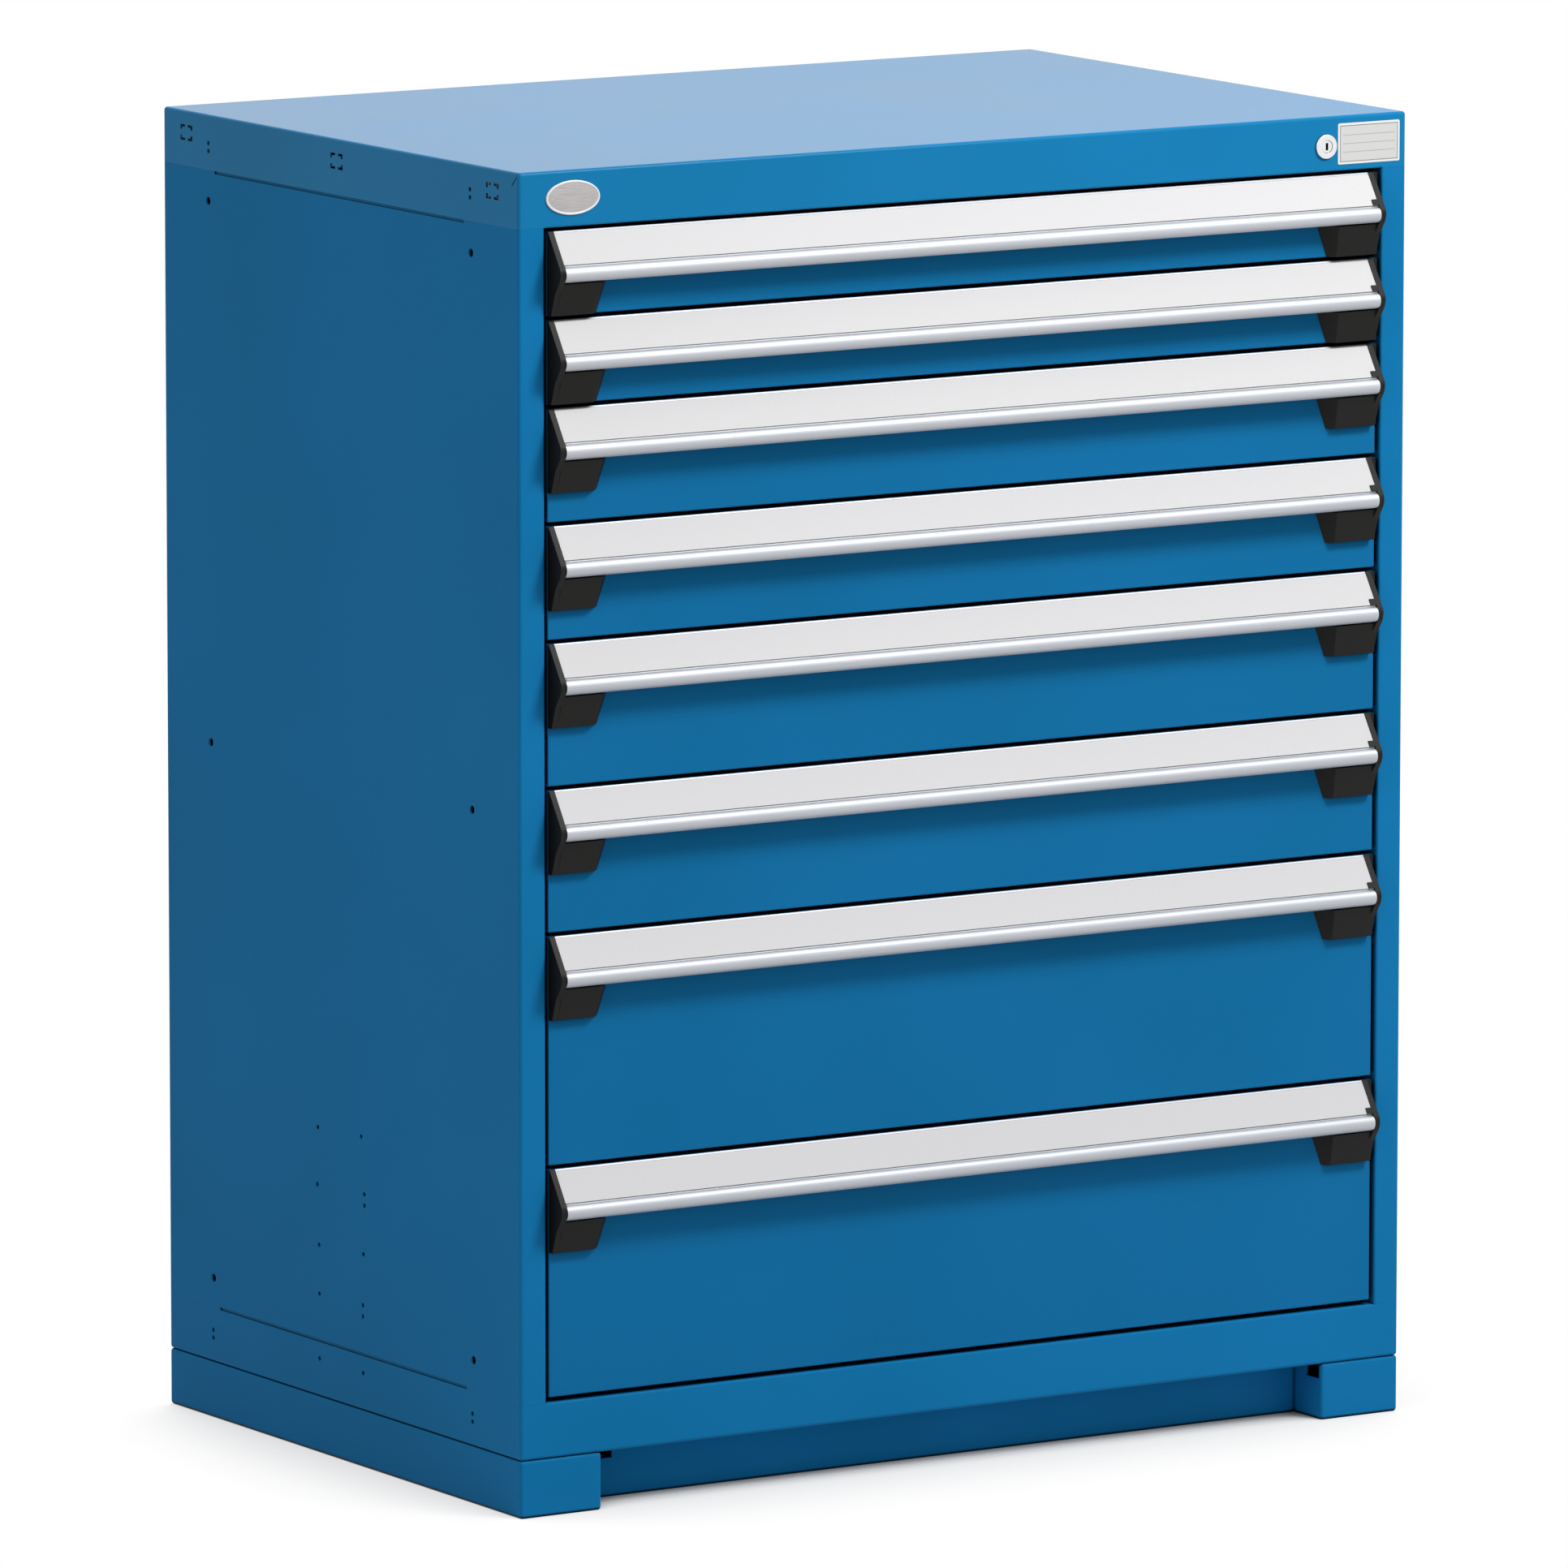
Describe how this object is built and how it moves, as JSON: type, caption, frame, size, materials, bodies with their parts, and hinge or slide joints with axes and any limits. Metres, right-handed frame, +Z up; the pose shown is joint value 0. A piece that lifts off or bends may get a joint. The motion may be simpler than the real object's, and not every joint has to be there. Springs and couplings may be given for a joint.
{
  "type": "modular drawer cabinet",
  "caption": "Sheet-steel storage cabinet with full-width drawers on roller carriages, sloped label handles, a lock in the header and a low base with a toe space.",
  "frame": {"origin": "on the floor, in the middle of the footprint with the handles counted in", "axes": "+Z up, drawers open towards -Y, +X to the right when facing the drawers"},
  "size_m": [0.9144, 0.6304, 1.1684],
  "materials": {
    "blue_paint": "satin",
    "zinc_steel": "satin",
    "tray_paint": "satin",
    "handle_silver": "satin",
    "label_white": "matte",
    "cap_black": "matte",
    "lock_chrome": "polished",
    "badge_plate": "satin"
  },
  "bodies": {
    "housing": {"top_pan": "blue_paint", "bottom_pan": "blue_paint", "left_side_panel": "blue_paint", "right_side_panel": "blue_paint", "back_panel": "blue_paint", "base_frame": "blue_paint", "slotted_uprights": "zinc_steel", "cabinet_rails": "zinc_steel", "lock_cylinder": "lock_chrome", "badge": "badge_plate"},
    "lock_core": {"lock_plug": "lock_chrome"},
    "lock_strip": {"lock_bar": "zinc_steel"},
    "drawer_1": {"drawer_1_front": "blue_paint", "drawer_1_tray": "tray_paint", "drawer_1_handle": "handle_silver", "drawer_1_label_strip": "label_white", "drawer_1_end_caps": "cap_black"},
    "carriages_1": {"drawer_1_carriages": "zinc_steel"},
    "drawer_2": {"drawer_2_front": "blue_paint", "drawer_2_tray": "tray_paint", "drawer_2_handle": "handle_silver", "drawer_2_label_strip": "label_white", "drawer_2_end_caps": "cap_black"},
    "carriages_2": {"drawer_2_carriages": "zinc_steel"},
    "drawer_3": {"drawer_3_front": "blue_paint", "drawer_3_tray": "tray_paint", "drawer_3_handle": "handle_silver", "drawer_3_label_strip": "label_white", "drawer_3_end_caps": "cap_black"},
    "carriages_3": {"drawer_3_carriages": "zinc_steel"},
    "drawer_4": {"drawer_4_front": "blue_paint", "drawer_4_tray": "tray_paint", "drawer_4_handle": "handle_silver", "drawer_4_label_strip": "label_white", "drawer_4_end_caps": "cap_black"},
    "carriages_4": {"drawer_4_carriages": "zinc_steel"},
    "drawer_5": {"drawer_5_front": "blue_paint", "drawer_5_tray": "tray_paint", "drawer_5_handle": "handle_silver", "drawer_5_label_strip": "label_white", "drawer_5_end_caps": "cap_black"},
    "carriages_5": {"drawer_5_carriages": "zinc_steel"},
    "drawer_6": {"drawer_6_front": "blue_paint", "drawer_6_tray": "tray_paint", "drawer_6_handle": "handle_silver", "drawer_6_label_strip": "label_white", "drawer_6_end_caps": "cap_black"},
    "carriages_6": {"drawer_6_carriages": "zinc_steel"},
    "drawer_7": {"drawer_7_front": "blue_paint", "drawer_7_tray": "tray_paint", "drawer_7_handle": "handle_silver", "drawer_7_label_strip": "label_white", "drawer_7_end_caps": "cap_black"},
    "carriages_7": {"drawer_7_carriages": "zinc_steel"},
    "drawer_8": {"drawer_8_front": "blue_paint", "drawer_8_tray": "tray_paint", "drawer_8_handle": "handle_silver", "drawer_8_label_strip": "label_white", "drawer_8_end_caps": "cap_black"},
    "carriages_8": {"drawer_8_carriages": "zinc_steel"}
  },
  "joints": [
    {"name": "lock_turn", "type": "hinge", "parent": "housing", "child": "lock_core", "pos_m": [0.3717, -0.2944, 1.1421], "axis": [0, 1, 0], "range_deg": [0, 90]},
    {"name": "lock_bar_slide", "type": "slide", "parent": "housing", "child": "lock_strip", "axis": [0, 0, -1], "range_m": [0, 0.01]},
    {"name": "drawer_1_slide", "type": "slide", "parent": "housing", "child": "drawer_1", "axis": [0, -1, 0], "range_m": [0, 0.5334]},
    {"name": "carriages_1_slide", "type": "slide", "parent": "housing", "child": "carriages_1", "axis": [0, -1, 0], "range_m": [0, 0.2667]},
    {"name": "drawer_2_slide", "type": "slide", "parent": "housing", "child": "drawer_2", "axis": [0, -1, 0], "range_m": [0, 0.5334]},
    {"name": "carriages_2_slide", "type": "slide", "parent": "housing", "child": "carriages_2", "axis": [0, -1, 0], "range_m": [0, 0.2667]},
    {"name": "drawer_3_slide", "type": "slide", "parent": "housing", "child": "drawer_3", "axis": [0, -1, 0], "range_m": [0, 0.5334]},
    {"name": "carriages_3_slide", "type": "slide", "parent": "housing", "child": "carriages_3", "axis": [0, -1, 0], "range_m": [0, 0.2667]},
    {"name": "drawer_4_slide", "type": "slide", "parent": "housing", "child": "drawer_4", "axis": [0, -1, 0], "range_m": [0, 0.5334]},
    {"name": "carriages_4_slide", "type": "slide", "parent": "housing", "child": "carriages_4", "axis": [0, -1, 0], "range_m": [0, 0.2667]},
    {"name": "drawer_5_slide", "type": "slide", "parent": "housing", "child": "drawer_5", "axis": [0, -1, 0], "range_m": [0, 0.5334]},
    {"name": "carriages_5_slide", "type": "slide", "parent": "housing", "child": "carriages_5", "axis": [0, -1, 0], "range_m": [0, 0.2667]},
    {"name": "drawer_6_slide", "type": "slide", "parent": "housing", "child": "drawer_6", "axis": [0, -1, 0], "range_m": [0, 0.5334]},
    {"name": "carriages_6_slide", "type": "slide", "parent": "housing", "child": "carriages_6", "axis": [0, -1, 0], "range_m": [0, 0.2667]},
    {"name": "drawer_7_slide", "type": "slide", "parent": "housing", "child": "drawer_7", "axis": [0, -1, 0], "range_m": [0, 0.5334]},
    {"name": "carriages_7_slide", "type": "slide", "parent": "housing", "child": "carriages_7", "axis": [0, -1, 0], "range_m": [0, 0.2667]},
    {"name": "drawer_8_slide", "type": "slide", "parent": "housing", "child": "drawer_8", "axis": [0, -1, 0], "range_m": [0, 0.5334]},
    {"name": "carriages_8_slide", "type": "slide", "parent": "housing", "child": "carriages_8", "axis": [0, -1, 0], "range_m": [0, 0.2667]}
  ],
  "couplings": [
    {"joint": "lock_turn", "follows": "lock_bar_slide", "rad_per_m": 157},
    {"joint": "carriages_1_slide", "follows": "drawer_1_slide", "ratio": 0.5},
    {"joint": "carriages_2_slide", "follows": "drawer_2_slide", "ratio": 0.5},
    {"joint": "carriages_3_slide", "follows": "drawer_3_slide", "ratio": 0.5},
    {"joint": "carriages_4_slide", "follows": "drawer_4_slide", "ratio": 0.5},
    {"joint": "carriages_5_slide", "follows": "drawer_5_slide", "ratio": 0.5},
    {"joint": "carriages_6_slide", "follows": "drawer_6_slide", "ratio": 0.5},
    {"joint": "carriages_7_slide", "follows": "drawer_7_slide", "ratio": 0.5},
    {"joint": "carriages_8_slide", "follows": "drawer_8_slide", "ratio": 0.5}
  ]
}
